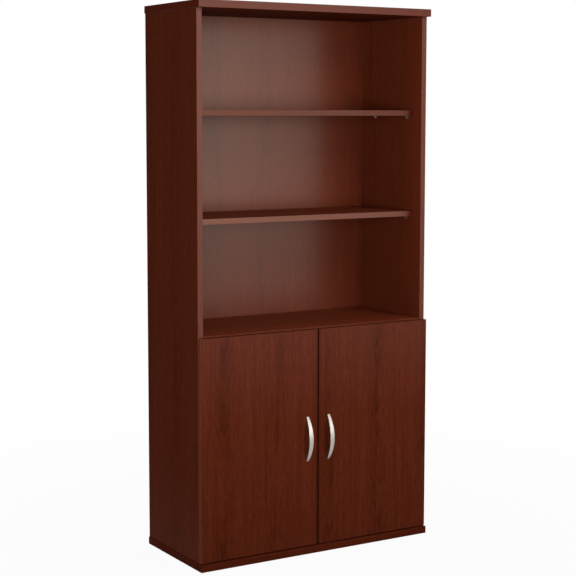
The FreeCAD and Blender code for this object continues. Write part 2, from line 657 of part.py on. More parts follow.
def pull_screw_hole(z):
    return rod(PULL_SCREW_RADIUS, PULL_SCREW_GRIP, Vector(0, DOOR_FRONT_Y, z), TO_FRONT)


def pull_screw(z):
    """A machine screw from the door's inside into the pull's foot."""
    length = DOOR_THICK + PULL_SCREW_GRIP
    crown = -PULL_SCREW_HEAD_HEIGHT
    profile = [(0, crown), (PULL_SCREW_CROWN_RADIUS, crown), (PULL_SCREW_HEAD_RADIUS, 0),
               (PULL_SCREW_RADIUS, 0), (PULL_SCREW_RADIUS, length), (0, length)]
    return turned(profile, Vector(0, DOOR_BACK_Y, z), TO_FRONT)


def pull_places():
    return [PULL_CENTRE_HEIGHT - PULL_HOLE_SPACING / 2, PULL_CENTRE_HEIGHT + PULL_HOLE_SPACING / 2]


# ---- Doors ----
def bumper(x):
    """A soft dot on the door's inside that meets the fixed shelf's front edge."""
    thick = DOOR_STANDOFF - BUMPER_CLEAR
    return rod(BUMPER_RADIUS, thick, Vector(x, DOOR_BACK_Y, (FIXED_SHELF_UNDER + DOOR_TOP) / 2), TO_BACK)


def make_door(side_name, sign):
    inner_x = -DOOR_SPLIT / 2
    core, bands = banded_door(-HALF_CASE, inner_x)
    bores = at_both_hinges([cup_bore()] + cup_screws(), -1)
    for z in pull_places():
        mouth = Vector(-PULL_X, DOOR_BACK_Y, z)
        bores.append(rod(PULL_SCREW_RADIUS + PULL_SCREW_CLEAR, DOOR_THICK, mouth, TO_FRONT))
    core = cut_all(core, bores)
    grip = pull().translated(Vector(-PULL_X, 0, PULL_CENTRE_HEIGHT))
    screws = [pull_screw(z).translated(Vector(-PULL_X, 0, 0)) for z in pull_places()]
    bumpers = [bumper(inner_x - BUMPER_EDGE_INSET), bumper(-HALF_INSIDE + BUMPER_EDGE_INSET)]
    save("door_panel_" + side_name, on_side(core, sign))
    save("door_edging_" + side_name, *[on_side(band, sign) for band in bands])
    save("pull_" + side_name, on_side(grip, sign))
    save("pull_screws_" + side_name, *[on_side(screw, sign) for screw in screws])
    save("door_bumpers_" + side_name, *[on_side(dot, sign) for dot in bumpers])


def make_hinges(side_name, sign):
    save("hinge_cups_" + side_name, *at_both_hinges([hinge_cup()], sign))
    save("cup_screws_" + side_name, *at_both_hinges(cup_screws(), sign))
    save("cup_pins_" + side_name, *at_both_hinges(cup_pins(), sign))
    save("long_links_" + side_name, *at_both_hinges([long_link()], sign))
    save("short_links_" + side_name, *at_both_hinges([short_link()], sign))
    save("hinge_arms_" + side_name, *at_both_hinges([hinge_arm()], sign))
    save("arm_pins_" + side_name, *at_both_hinges(arm_pins(), sign))
    save("arm_screws_" + side_name, *at_both_hinges(arm_screws(), sign))
    save("mounting_plates_" + side_name, *at_both_hinges([mounting_plate()], sign))
    save("plate_screws_" + side_name, *at_both_hinges(plate_screws(), sign))


# ---- Case ----
def slab_dowel_holes():
    return [dowel_hole(*place) for place in slab_dowel_places()]


def make_slabs():
    top, top_bands = banded_slab(TOP_UNDER_Z)
    base, base_bands = banded_slab(0)
    screw_holes = [base_screw_hole(place) for place in base_screw_places()]
    save("top_slab", cut_all(top, slab_dowel_holes()))
    save("top_slab_edging", *top_bands)
    save("base_slab", cut_all(base, slab_dowel_holes() + screw_holes))
    save("base_slab_edging", *base_bands)


def make_side(side_name, sign):
    """A side panel with a rebate for the back, peg holes and the bores of its joints."""
    core, band = front_banded(-HALF_CASE, -HALF_INSIDE, CASE_FRONT_Y, BACK_Y, BASE_TOP_Z, TOP_UNDER_Z, UP)
    rebate_x = -HALF_INSIDE - BACK_LAP - BACK_CLEAR
    rebate = block(rebate_x, -HALF_INSIDE, BACK_FACE_Y, BACK_Y, BASE_TOP_Z, TOP_UNDER_Z)
    bores = slab_dowel_holes() + [dowel_hole(*place) for place in shelf_dowel_places()]
    bores += [cam_bolt_hole(*place) for place in cam_places()]
    bores += [base_screw_hole(place) for place in base_screw_places()]
    bores += peg_holes(-1) + at_both_hinges(plate_screws(), -1) + back_nails()
    core = cut_all(core, [rebate] + bores)
    save("side_panel_" + side_name, on_side(core, sign))
    save("side_edging_" + side_name, on_side(band, sign))


def make_fixed_shelf():
    core, band = front_banded(-HALF_INSIDE, HALF_INSIDE, CASE_FRONT_Y, BACK_FACE_Y, FIXED_SHELF_UNDER,
                              FIXED_SHELF_TOP, TO_RIGHT)
    bores = [dowel_hole(*place) for place in shelf_dowel_places()]
    for mouth, outward in cam_places():
        bores.append(cam_bolt_hole(mouth, outward))
        bores.append(rod(CAM_RADIUS + CAM_CLEAR, CAM_DEPTH + CAM_CLEAR, mouth, UP))
    save("fixed_shelf", cut_all(core, bores + back_nails()))
    save("fixed_shelf_edging", band)


def make_joinery():
    save("dowels", *[dowel(*place) for place in slab_dowel_places() + shelf_dowel_places()])
    save("cam_locks", *[cam_lock(*place) for place in cam_places()])
    save("cam_bolts", *[cam_bolt(*place) for place in cam_places()])
    save("base_screws", *[base_screw(place) for place in base_screw_places()])


def back_nail_places():
    """Nails up both sides and in two rows across the fixed shelf, one row for each panel."""
    rise = TOP_UNDER_Z - BASE_TOP_Z - 2 * NAIL_END_GAP
    steps = round(rise / NAIL_SPACING)
    nail_x = HALF_INSIDE + BACK_LAP / 2
    heights = [BASE_TOP_Z + NAIL_END_GAP + index * rise / steps for index in range(steps + 1)]
    places = [(x, z) for x in (-nail_x, nail_x) for z in heights]
    run = 2 * (HALF_INSIDE - NAIL_END_GAP)
    across = round(run / NAIL_SPACING)
    for index in range(across + 1):
        x = -run / 2 + index * run / across
        places += [(x, FIXED_SHELF_MID_Z - PANEL_THICK / 4), (x, FIXED_SHELF_MID_Z + PANEL_THICK / 4)]
    return places


def back_nails():
    """Flat-headed nails, their heads sunk level with the case's back."""
    profile = [(0, 0), (NAIL_HEAD_RADIUS, 0), (NAIL_HEAD_RADIUS, NAIL_HEAD_THICK),
               (NAIL_RADIUS, NAIL_HEAD_THICK), (NAIL_RADIUS, NAIL_LENGTH - NAIL_RADIUS), (0, NAIL_LENGTH)]
    return [turned(profile, Vector(x, BACK_Y, z), TO_FRONT) for x, z in back_nail_places()]


def make_back():
    half = HALF_INSIDE + BACK_LAP
    y1 = BACK_FACE_Y + BACK_THICK
    seam = BACK_CLEAR / 2
    upper = block(-half, half, BACK_FACE_Y, y1, FIXED_SHELF_MID_Z + seam, TOP_UNDER_Z)
    lower = block(-half, half, BACK_FACE_Y, y1, BASE_TOP_Z, FIXED_SHELF_MID_Z - seam)
    save("back_panel_upper", cut_all(upper, back_nails()))
    save("back_panel_lower", cut_all(lower, back_nails()))
    save("back_nails", *back_nails())


def make_case():
    make_slabs()
    make_side("left", -1)
    make_side("right", 1)
    make_fixed_shelf()
    make_joinery()
    make_back()


def make_shelves():
    for name, under in LOOSE_SHELVES:
        loose_shelf("loose_shelf_" + name, under)
        save("shelf_supports_" + name, *shelf_supports(under))


os.makedirs("parts", exist_ok=True)
make_case()
make_shelves()
for door_name, door_sign in (("left", -1), ("right", 1)):
    make_door(door_name, door_sign)
    make_hinges(door_name, door_sign)
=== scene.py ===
import bpy
import math
from mathutils import Matrix, Vector


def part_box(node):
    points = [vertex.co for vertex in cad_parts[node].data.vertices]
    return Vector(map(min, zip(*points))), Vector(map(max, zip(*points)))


# A tall mahogany-look bookcase with a two-door cupboard, dressed and set on a pale studio floor.
# Metres, in the model's own frame: X to the right, Y to the back, Z up.

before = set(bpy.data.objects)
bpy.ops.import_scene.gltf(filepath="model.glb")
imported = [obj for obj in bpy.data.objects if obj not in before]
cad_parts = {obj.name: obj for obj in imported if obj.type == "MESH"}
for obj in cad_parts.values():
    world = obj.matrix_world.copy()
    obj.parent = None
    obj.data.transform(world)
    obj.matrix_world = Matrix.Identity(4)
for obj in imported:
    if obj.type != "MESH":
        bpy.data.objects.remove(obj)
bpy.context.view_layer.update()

# ---- Camera, angles in radians ----
IMAGE_SIZE = 576
SENSOR_WIDTH = 36.0
FOCAL_PIXELS = 1476.3
CAMERA_PLACE = Vector((-2.6464, -4.3417, 1.4961))
CAMERA_YAW = 0.5464
CAMERA_DROP = 0.1032
CAMERA_ROLL = 0.0012
VIEW_SHIFT = -0.04
VIEW_REACH = 100.0

# ---- Light, power in watts and spread in degrees ----
SKY_LEVEL = 0.20
MAIN_PLACE = Vector((-2.6, -4.4, 1.4))
MAIN_AIM = Vector((0.0, 0.0, 1.85))
MAIN_SIZE = (2.0, 1.6)
MAIN_POWER = 21.5
MAIN_SPREAD = 60.0
SHEEN_PLACE = Vector((1.35, -3.9, 1.6))
SHEEN_AIM = Vector((0.0, 0.0, 1.2))
SHEEN_SIZE = (2.2, 2.0)
SHEEN_POWER = 37.8
HIGH_PLACE = Vector((0.7, -2.9, 3.2))
HIGH_AIM = Vector((0.0, 0.0, 1.5))
HIGH_SIZE = (1.8, 1.4)
HIGH_POWER = 8.0
HIGH_SPREAD = 60.0
LOW_PLACE = Vector((-3.2, -0.2, 0.4))
LOW_AIM = Vector((-0.45, 0.0, 0.15))
LOW_SIZE = (1.4, 0.5)
LOW_POWER = 1.6
LOW_SPREAD = 70.0
REAR_PLACE = Vector((3.4, 3.0, 2.4))
REAR_AIM = Vector((0.2, 0.1, 0.9))
REAR_SIZE = (2.4, 2.2)
REAR_POWER = 90.0
OPEN_SPREAD = 180.0
FLOOR_SIZE = 60.0
FLOOR_SHADE = 0.50
FLOOR_GLOW_NEAR = 0.96
FLOOR_GLOW_START = 0.6
FLOOR_GLOW_REACH = 2.5

# ---- Colours, linear. A pair is for the darkest and the lightest streaks ----
WHITE = (1.0, 1.0, 1.0, 1.0)
MAHOGANY_DARK = (0.048, 0.0082, 0.0027, 1.0)
MAHOGANY_MID = (0.089, 0.0154, 0.0056, 1.0)
MAHOGANY_LIGHT = (0.138, 0.0264, 0.0106, 1.0)
# The pores' brown, which also serves as painted shade where the two doors meet.
PORE_AND_PAINTED_SHADE_BROWN = (0.030, 0.0055, 0.0024, 1.0)
RUBBED_BROWN = (0.200, 0.0620, 0.0300, 1.0)
# The colour that painted light pales some laminates to toward their front.
PAINTED_LIGHT_MAHOGANY = (0.200, 0.0360, 0.0140, 1.0)
SIDE_BAND = ((0.090, 0.0200, 0.0080, 1.0), (0.126, 0.0295, 0.0120, 1.0))
SHELF_BAND = ((0.041, 0.0031, 0.0012, 1.0), (0.059, 0.0043, 0.0016, 1.0))
# The middle shelf's band is a lighter copy of the shelf band: painted light.
LIT_MIDDLE_SHELF_BAND = ((0.047, 0.0039, 0.0019, 1.0), (0.068, 0.0057, 0.0027, 1.0))
FIXED_SHELF_BAND = ((0.092, 0.0210, 0.0106, 1.0), (0.122, 0.0286, 0.0144, 1.0))
TOP_BAND = ((0.0657, 0.0093, 0.0048, 1.0), (0.0925, 0.0131, 0.0068, 1.0))
TOP_END_BAND = ((0.074, 0.0115, 0.0042, 1.0), (0.104, 0.0165, 0.0062, 1.0))
BASE_BAND = ((0.062, 0.0102, 0.0039, 1.0), (0.103, 0.0180, 0.0069, 1.0))
# Door band: painted light on the hinge edges, painted shade on the meeting, top and bottom edges.
DOOR_BAND_PAINTED_LIGHT = ((0.136, 0.0330, 0.0135, 1.0), (0.182, 0.0460, 0.0190, 1.0))
DOOR_BAND_PAINTED_SHADE = ((0.040, 0.0080, 0.0033, 1.0), (0.058, 0.0115, 0.0048, 1.0))
CHIP_DARK = (0.16, 0.095, 0.048, 1.0)
CHIP_LIGHT = (0.46, 0.33, 0.20, 1.0)
HARDBOARD_DARK = (0.150, 0.070, 0.031, 1.0)
HARDBOARD_LIGHT = (0.265, 0.137, 0.066, 1.0)
NICKEL = (0.44, 0.405, 0.36, 1.0)
NICKEL_RUBBED = (0.56, 0.53, 0.49, 1.0)
STEEL = (0.56, 0.57, 0.58, 1.0)
STEEL_DULL = (0.44, 0.45, 0.46, 1.0)
STEEL_RUBBED = (0.68, 0.68, 0.69, 1.0)
SUPPORT_ZINC = (0.56, 0.54, 0.50, 1.0)
SUPPORT_ZINC_DULL = (0.34, 0.32, 0.30, 1.0)
ZINC = (0.42, 0.42, 0.43, 1.0)
ZINC_DULL = (0.33, 0.33, 0.34, 1.0)
BEECH_DARK = (0.42, 0.26, 0.13, 1.0)
BEECH_LIGHT = (0.62, 0.44, 0.25, 1.0)
GEL_CLEAR = (0.70, 0.71, 0.70, 1.0)
GEL_HAZY = (0.60, 0.60, 0.58, 1.0)

# ---- Sheen, a level, or two heights and the levels at them. Its tints ----
PLAIN_SHEEN = 0.002
SHELF_SHEEN = 0.003
# Painted sheen on the left side, stronger near the floor, where the floor's light is reflected.
SIDE_PAINTED_SHEEN = (0.05, 0.30, 0.008, 0.002)
# Painted sheen on the doors, growing toward their tops, where reflected light falls.
DOOR_PAINTED_SHEEN = (0.46, 0.74, 0.014, 0.10)
SIDE_BAND_SHEEN = 0.21
TOP_BAND_SHEEN = 0.28
SHELF_BAND_SHEEN = 0.50
# A stronger painted sheen for the middle shelf's band.
LIT_MIDDLE_SHELF_BAND_SHEEN = 0.90
FIXED_SHELF_BAND_SHEEN = 0.01
BACK_SHEEN = 0.415
BEECH_SHEEN = 0.3
HARD_SHEEN = 0.5
BACK_SHEEN_TINT = (1.0, 0.88, 0.76, 1.0)
TOP_SHEEN_TINT = (1.0, 0.86, 0.68, 1.0)
BAND_SHEEN_TINT = (1.0, 0.61, 0.43, 1.0)

# ---- Roughness, its middle and its swing, and the size of its clouds ----
LAMINATE_ROUGHNESS = (0.45, 0.06)
BAND_ROUGHNESS = (0.36, 0.04)
BACK_ROUGHNESS = (0.30, 0.02)
BEECH_ROUGHNESS = (0.60, 0.05)
GEL_ROUGHNESS = (0.20, 0.05)
NICKEL_ROUGHNESS = (0.38, 0.06)
STEEL_ROUGHNESS = (0.36, 0.06)
SUPPORT_ROUGHNESS = (0.40, 0.06)
SCREW_ROUGHNESS = (0.20, 0.06)
CAST_ROUGHNESS = (0.50, 0.06)
BROAD_CLOUDS = 0.2
SMALL_CLOUDS = 0.01

# ---- Relief, its height and its strength ----
LAMINATE_RELIEF = (0.00012, 0.25)
BAND_RELIEF = (0.00008, 0.2)
BACK_RELIEF = (0.00006, 0.15)
BEECH_RELIEF = (0.0001, 0.3)
METAL_RELIEF = (0.00004, 0.2)

# ---- Wear on the arrises, widths and shares of the rubbed colour ----
ARRIS_WIDTH = 0.0012
METAL_ARRIS_WIDTH = 0.0005
LAMINATE_WEAR = 0.3
BAND_WEAR = 0.35
METAL_WEAR = 0.8
WEAR_PATCHES = 0.03
WEAR_PATCH_STEP = (0.38, 0.62)
LEAST_WEAR = 0.25
ARRIS_TURN = (0.80, 0.99)
ARRIS_SAMPLES = 4

# ---- Mahogany figure. Noise has waves to a metre, across and along the grain ----
STRIP_WIDTH = 0.2053
DOOR_HEART = 0.367
SIDE_HEART = 0.06
RING_SPACING = 0.018
ARCH_LENGTH = 0.080
ARCH_ROUNDING = 0.00014
GRAIN_DRIFT = 0.045
GRAIN_DRIFT_WAVES = (7.0, 1.5)
RING_WAVER = 1.6
RING_WAVER_WAVES = (38.0, 2.5)
ARCH_PATCH_WAVES = (16.0, 5.0)
ARCH_PATCH_STEP = (0.35, 0.65)
ARCH_PATCH_LEAST = 0.2
ARCH_FADE = (0.020, 0.065)
ARCH_FADE_LEAST = 0.25
HEART_EDGE = (0.006, 0.032)
HEART_PATCH_WAVES = (24.0, 4.6)
HEART_PATCH_STEP = (0.44, 0.60)
DARK_BAND_WAVES = (70.0, 0.7)
DARK_BAND_STEP = (0.3, 0.7)
HEART_SHARE = 0.7
DARK_BAND_SHARE = 0.3
BROAD_STREAK_WAVES = (150.0, 3.0)
FLECK_WAVES = (210.0, 32.0)
FLECK_SHARE = 0.5
STREAK_STEP = (0.34, 0.66)
PORE_WAVES = (900.0, 34.0)
PORE_STEP = (0.60, 0.72)
FINE_DETAIL = 3.0
FINE_GRIT = 0.6

# ---- Print on laminate and on the back ----
ARCH_SHARE = 0.28
SHADE_SHARE = 0.30
STREAK_SHARE = 0.42
PORE_SHARE = 0.4
PRINT_STEP = (0.25, 0.95)
PRINT_MIDDLE = 0.5
# Painted shade: the door laminate darkens toward the split, where shade falls between the doors.
SPLIT_PAINTED_SHADE = 0.45
SPLIT_PAINTED_SHADE_REACH = (0.002, 0.016)
# The hinge edges, where the door band is painted lighter as painted light.
DOOR_PAINTED_LIT_EDGE = (0.440, 0.4444)
# Painted light: the reach over which a laminate pales toward its front.
FRONT_PAINTED_LIGHT_REACH = (-0.20, -0.04)

# ---- Other stuffs. Scales are waves to a metre ----
CHIP_SCALE = 420.0
FIBRE_SCALE = 160.0
FIBRE_DETAIL = 5.0
FIBRE_GRIT = 0.7
FIBRE_STEP = (0.3, 0.7)
DULL_STEP = (0.35, 0.65)
BRUSH_SCRATCHES = 2600.0
STEEL_SCRATCHES = 1400.0
SCREW_SCRATCHES = 1800.0
CAST_SCRATCHES = 900.0
BRUSH_STRETCH = 0.04
GEL_HAZE_SCALE = 900.0

# ---- Masks by the way that a face looks ----
BACK_FACING = (0.8, 0.9)
END_FACING = (0.6, 0.8)


# ---- Node tools ----
def add(tree, kind, inputs=None, **settings):
    """A new node. An input takes a value or another node's output."""
    made = tree.nodes.new(kind)
    for name, value in settings.items():
        setattr(made, name, value)
    for name, value in (inputs or {}).items():
        if isinstance(value, bpy.types.NodeSocket):
            tree.links.new(value, made.inputs[name])
        else:
            made.inputs[name].default_value = value
    return made


def maths(tree, operation, first, second=0.0):
    return add(tree, "ShaderNodeMath", {0: first, 1: second}, operation=operation).outputs[0]


def times(tree, first, second):
    return maths(tree, "MULTIPLY", first, second)


def plus(tree, first, second):
    return maths(tree, "ADD", first, second)


def minus(tree, first, second):
    return maths(tree, "SUBTRACT", first, second)


def blended(tree, share, first, second):
    """A colour between two others, which are the Mix node's inputs 6 and 7."""
    return add(tree, "ShaderNodeMix", {0: share, 6: first, 7: second}, data_type="RGBA").outputs[2]


def spread(tree, value, low, high, to_low=0.0, to_high=1.0):
    """The value's stretch from low to high, laid over another stretch, with both ends held."""
    inputs = {"Value": value, "From Min": low, "From Max": high, "To Min": to_low, "To Max": to_high}
    return add(tree, "ShaderNodeMapRange", inputs, clamp=True).outputs["Result"]


def noise(tree, place, scale=1.0, detail=2.0, roughness=0.5):
    inputs = {"Vector": place, "Scale": scale, "Detail": detail, "Roughness": roughness}
    return add(tree, "ShaderNodeTexNoise", inputs).outputs["Fac"]


def either_way(tree, cloud):
    """Noise about its middle, so that it swings below and above zero."""
    return minus(tree, cloud, 0.5)


def place_of(tree, x, y, z):
    return add(tree, "ShaderNodeCombineXYZ", {"X": x, "Y": y, "Z": z}).outputs["Vector"]


def new_group(name, inputs, outputs):
    """An empty node group with float sockets, the values that it is given, and the node for its results."""
    group = bpy.data.node_groups.new(name, "ShaderNodeTree")
    for title, value in inputs.items():
        socket = group.interface.new_socket(title, in_out="INPUT", socket_type="NodeSocketFloat")
        socket.default_value = value
    for title in outputs:
        group.interface.new_socket(title, in_out="OUTPUT", socket_type="NodeSocketFloat")
    return group, group.nodes.new("NodeGroupInput").outputs, group.nodes.new("NodeGroupOutput")


def use(tree, group, inputs):
    """The outputs of the group as a node in a material, with that material's own values."""
    return add(tree, "ShaderNodeGroup", inputs, node_tree=group).outputs


# ---- Effects that several finishes share ----
def make_figure_group():
    """Flat-sawn timber figure. Long nested arches stand one above another, in strips side by side."""
    inputs = {"Along": 0.0, "Across": 0.0, "Seed": 0.0, "Heart": 0.0, "Strip Width": STRIP_WIDTH,
              "Ring Spacing": RING_SPACING, "Arch Length": ARCH_LENGTH}
    group, given, result = new_group("timber_figure", inputs, ("Figure", "Shade", "Streaks", "Pores"))
    along, across = given["Along"], given["Across"]

    def drawn_out(waves, **looks):
        """Noise that is drawn out along the grain."""
        waves_across, waves_along = waves
        place = place_of(group, times(group, across, waves_across), times(group, along, waves_along),
                         given["Seed"])
        return noise(group, place, **looks)

    drift = either_way(group, drawn_out(GRAIN_DRIFT_WAVES))
    wandered = plus(group, plus(group, across, given["Heart"]), times(group, drift, GRAIN_DRIFT))
    off_heart = maths(group, "PINGPONG", wandered, times(group, given["Strip Width"], 0.5))
    rounded = maths(group, "SQRT", plus(group, times(group, off_heart, off_heart), ARCH_ROUNDING))
    rings = maths(group, "DIVIDE", rounded, given["Ring Spacing"])
    climb = maths(group, "DIVIDE", along, given["Arch Length"])
    waver = either_way(group, drawn_out(RING_WAVER_WAVES, detail=FINE_DETAIL))
    turn = plus(group, minus(group, rings, climb), times(group, waver, RING_WAVER))
    ring = maths(group, "FRACT", turn)
    late_wood = times(group, ring, times(group, ring, ring))
    patchy = spread(group, drawn_out(ARCH_PATCH_WAVES), *ARCH_PATCH_STEP, ARCH_PATCH_LEAST, 1.0)
    fading = spread(group, off_heart, *ARCH_FADE, 1.0, ARCH_FADE_LEAST)
    figure = minus(group, 1.0, times(group, late_wood, times(group, patchy, fading)))

    near_heart = spread(group, off_heart, *HEART_EDGE, 1.0, 0.0)
    patches = spread(group, drawn_out(HEART_PATCH_WAVES), *HEART_PATCH_STEP)
    bands = spread(group, drawn_out(DARK_BAND_WAVES), *DARK_BAND_STEP)
    heart_shade = times(group, times(group, near_heart, patches), HEART_SHARE)
    shade = minus(group, 1.0, plus(group, heart_shade, times(group, bands, DARK_BAND_SHARE)))

    broad = drawn_out(BROAD_STREAK_WAVES, detail=FINE_DETAIL, roughness=FINE_GRIT)
    flecks = drawn_out(FLECK_WAVES, detail=FINE_DETAIL, roughness=FINE_GRIT)
    mixed = plus(group, times(group, broad, 1.0 - FLECK_SHARE), times(group, flecks, FLECK_SHARE))
    pores = spread(group, drawn_out(PORE_WAVES, detail=1.0), *PORE_STEP)
    group.links.new(figure, result.inputs["Figure"])
    group.links.new(shade, result.inputs["Shade"])
    group.links.new(spread(group, mixed, *STREAK_STEP), result.inputs["Streaks"])
    group.links.new(pores, result.inputs["Pores"])
    return group


def make_drift_group():
    """Slow cloudy change of roughness over a surface."""
    inputs = {"X": 0.0, "Y": 0.0, "Z": 0.0, "Size": BROAD_CLOUDS, "Middle": 0.5, "Swing": 0.0}
    group, given, result = new_group("sheen_drift", inputs, ("Roughness",))
    place = place_of(group, given["X"], given["Y"], given["Z"])
    scale = maths(group, "DIVIDE", 1.0, given["Size"])
    cloud = either_way(group, noise(group, place, scale, detail=FINE_DETAIL))
    roughness = plus(group, given["Middle"], times(group, cloud, times(group, given["Swing"], 2.0)))
    group.links.new(roughness, result.inputs["Roughness"])
    return group


def make_rub_group():
    """Wear along the arrises, in patches. 1 where an edge is rubbed through, 0 on the faces."""
    inputs = {"X": 0.0, "Y": 0.0, "Z": 0.0, "Width": ARRIS_WIDTH, "Patch Size": WEAR_PATCHES}
    group, given, result = new_group("rubbed_edges", inputs, ("Wear",))
    bevel = add(group, "ShaderNodeBevel", {"Radius": given["Width"]}, samples=ARRIS_SAMPLES)
    true_normal = add(group, "ShaderNodeNewGeometry").outputs["Normal"]
    normals = {0: bevel.outputs["Normal"], 1: true_normal}
    turned = add(group, "ShaderNodeVectorMath", normals, operation="DOT_PRODUCT").outputs["Value"]
    at_edge = spread(group, turned, *ARRIS_TURN, 1.0, 0.0)
    place = place_of(group, given["X"], given["Y"], given["Z"])
    scale = maths(group, "DIVIDE", 1.0, given["Patch Size"])
    patches = noise(group, place, scale, detail=FINE_DETAIL, roughness=FINE_GRIT)
    wear = times(group, at_edge, spread(group, patches, *WEAR_PATCH_STEP, LEAST_WEAR, 1.0))
    group.links.new(wear, result.inputs["Wear"])
    return group


FIGURE = make_figure_group()
DRIFT = make_drift_group()
RUB = make_rub_group()


# ---- Finishes ----
def new_finish(name):
    """A new material, its node tree, its shader and the three coordinates of the model's frame."""
    finish = bpy.data.materials.new(name)
    finish.use_nodes = True
    tree = finish.node_tree
    place = add(tree, "ShaderNodeTexCoord").outputs["Object"]
    axes = add(tree, "ShaderNodeSeparateXYZ", {"Vector": place}).outputs
    return finish, tree, tree.nodes["Principled BSDF"], axes


def at_axes(axes):
    return {"X": axes["X"], "Y": axes["Y"], "Z": axes["Z"]}


def set_sheen(tree, shader, axes, roughness, specular, size=BROAD_CLOUDS):
    """Roughness that drifts over the surface, and a level of sheen that may change with the height. A level
    that changes with height is painted sheen.
    """
    middle, swing = roughness
    inputs = dict(at_axes(axes), Size=size, Middle=middle, Swing=swing)
    tree.links.new(use(tree, DRIFT, inputs)["Roughness"], shader.inputs["Roughness"])
    level = shader.inputs["Specular IOR Level"]
    # A level that changes with height is painted sheen, where reflected light falls.
    if isinstance(specular, tuple):
        tree.links.new(spread(tree, axes["Z"], *specular), level)
    else:
        level.default_value = specular


def set_relief(tree, shader, height, relief):
    distance, strength = relief
    bump = add(tree, "ShaderNodeBump", {"Height": height, "Distance": distance, "Strength": strength})
    tree.links.new(bump.outputs["Normal"], shader.inputs["Normal"])


def rubbed(tree, axes, width, patch_size=WEAR_PATCHES):
    return use(tree, RUB, dict(at_axes(axes), **{"Width": width, "Patch Size": patch_size}))["Wear"]


def facing(tree):
    """The three parts of the way that a face looks."""
    normal = add(tree, "ShaderNodeTexCoord").outputs["Normal"]
    return add(tree, "ShaderNodeSeparateXYZ", {"Vector": normal}).outputs


def facing_back(tree):
    """1 on faces that look to the back, 0 elsewhere."""
    return spread(tree, facing(tree)["Y"], *BACK_FACING)


def at_ends(tree, axes):
    """1 on faces that look to the left or right, 0 elsewhere. A mask for edge_band, like the next one."""
    return spread(tree, maths(tree, "ABSOLUTE", facing(tree)["X"]), *END_FACING)


def at_painted_lit_edges(tree, axes):
    """1 along the hinge edges of both doors, 0 elsewhere. There the door band is painted lighter as painted
    light.
    """
    return spread(tree, maths(tree, "ABSOLUTE", axes["X"]), *DOOR_PAINTED_LIT_EDGE)


def figure_at(tree, axes, grain, seed, heart=0.0):
    """The timber figure with its grain along one axis, and across it the sum of the other two."""
    first, second = [axis for axis in ("X", "Y", "Z") if axis != grain]
    across = plus(tree, axes[first], axes[second])
    return use(tree, FIGURE, {"Along": axes[grain], "Across": across, "Seed": seed, "Heart": heart})


def mahogany_print(tree, figure, depth=1.0, lift=0.0):
    """Mahogany colour from the arches, the shade and the streaks. Depth is contrast, lift is lightness."""
    arches = times(tree, figure["Figure"], ARCH_SHARE)
    shade = times(tree, figure["Shade"], SHADE_SHARE)
    streaks = times(tree, figure["Streaks"], STREAK_SHARE)
    middle = PRINT_MIDDLE + lift
    ends = (middle - 0.5 * depth, middle + 0.5 * depth)
    tone = spread(tree, plus(tree, plus(tree, arches, shade), streaks), *PRINT_STEP, *ends)
    ramp = add(tree, "ShaderNodeValToRGB", {"Fac": tone})
    stops = ramp.color_ramp.elements
    stops[0].color = MAHOGANY_DARK
    stops[1].color = MAHOGANY_LIGHT
    stops.new(PRINT_MIDDLE).color = MAHOGANY_MID
    return blended(tree, times(tree, figure["Pores"], PORE_SHARE), ramp.outputs["Color"], PORE_AND_PAINTED_SHADE_BROWN)


def chipboard(tree, axes):
    """Colour of a raw sawn edge of particle board."""
    inputs = {"Vector": place_of(tree, *axes), "Scale": CHIP_SCALE}
    chips = add(tree, "ShaderNodeTexVoronoi", inputs, feature="F1")
    return blended(tree, chips.outputs["Color"], CHIP_DARK, CHIP_LIGHT)


def laminate(name, grain, seed, specular=PLAIN_SHEEN, depth=1.0, lift=0.0, heart=0.0, front_painted_light=0.0):
    """Matt mahogany laminate with rubbed arrises, and raw board at the back. Some fronts are painted paler,
    as painted light.
    """
    finish, tree, shader, axes = new_finish(name)
    figure = figure_at(tree, axes, grain, seed, heart)
    colour = mahogany_print(tree, figure, depth, lift)
    if front_painted_light:
        # Painted light: the colour pales toward the front edge, where more light falls into the bay.
        painted_front_light = spread(tree, axes["Y"], *FRONT_PAINTED_LIGHT_REACH, front_painted_light, 0.0)
        colour = blended(tree, painted_front_light, colour, PAINTED_LIGHT_MAHOGANY)
    wear = times(tree, rubbed(tree, axes, ARRIS_WIDTH), LAMINATE_WEAR)
    colour = blended(tree, wear, colour, RUBBED_BROWN)
    colour = blended(tree, facing_back(tree), colour, chipboard(tree, axes))
    tree.links.new(colour, shader.inputs["Base Color"])
    set_sheen(tree, shader, axes, LAMINATE_ROUGHNESS, specular)
    set_relief(tree, shader, minus(tree, figure["Streaks"], figure["Pores"]), LAMINATE_RELIEF)
    return finish


def door_laminate(name, grain, seed, specular, depth, lift, heart):
    """Mahogany laminate on both faces of a door, with painted shade darkening it where the two doors meet.
    """
    finish, tree, shader, axes = new_finish(name)
    figure = figure_at(tree, axes, grain, seed, heart)
    colour = mahogany_print(tree, figure, depth, lift)
    from_split = maths(tree, "ABSOLUTE", axes["X"])
    # Painted shade where the two doors meet, standing in for the shade of the gap.
    split_painted_shade = spread(tree, from_split, *SPLIT_PAINTED_SHADE_REACH, SPLIT_PAINTED_SHADE, 0.0)
    tree.links.new(blended(tree, split_painted_shade, colour, PORE_AND_PAINTED_SHADE_BROWN), shader.inputs["Base Color"])
    set_sheen(tree, shader, axes, LAMINATE_ROUGHNESS, specular)
    set_relief(tree, shader, minus(tree, figure["Streaks"], figure["Pores"]), LAMINATE_RELIEF)
    return finish


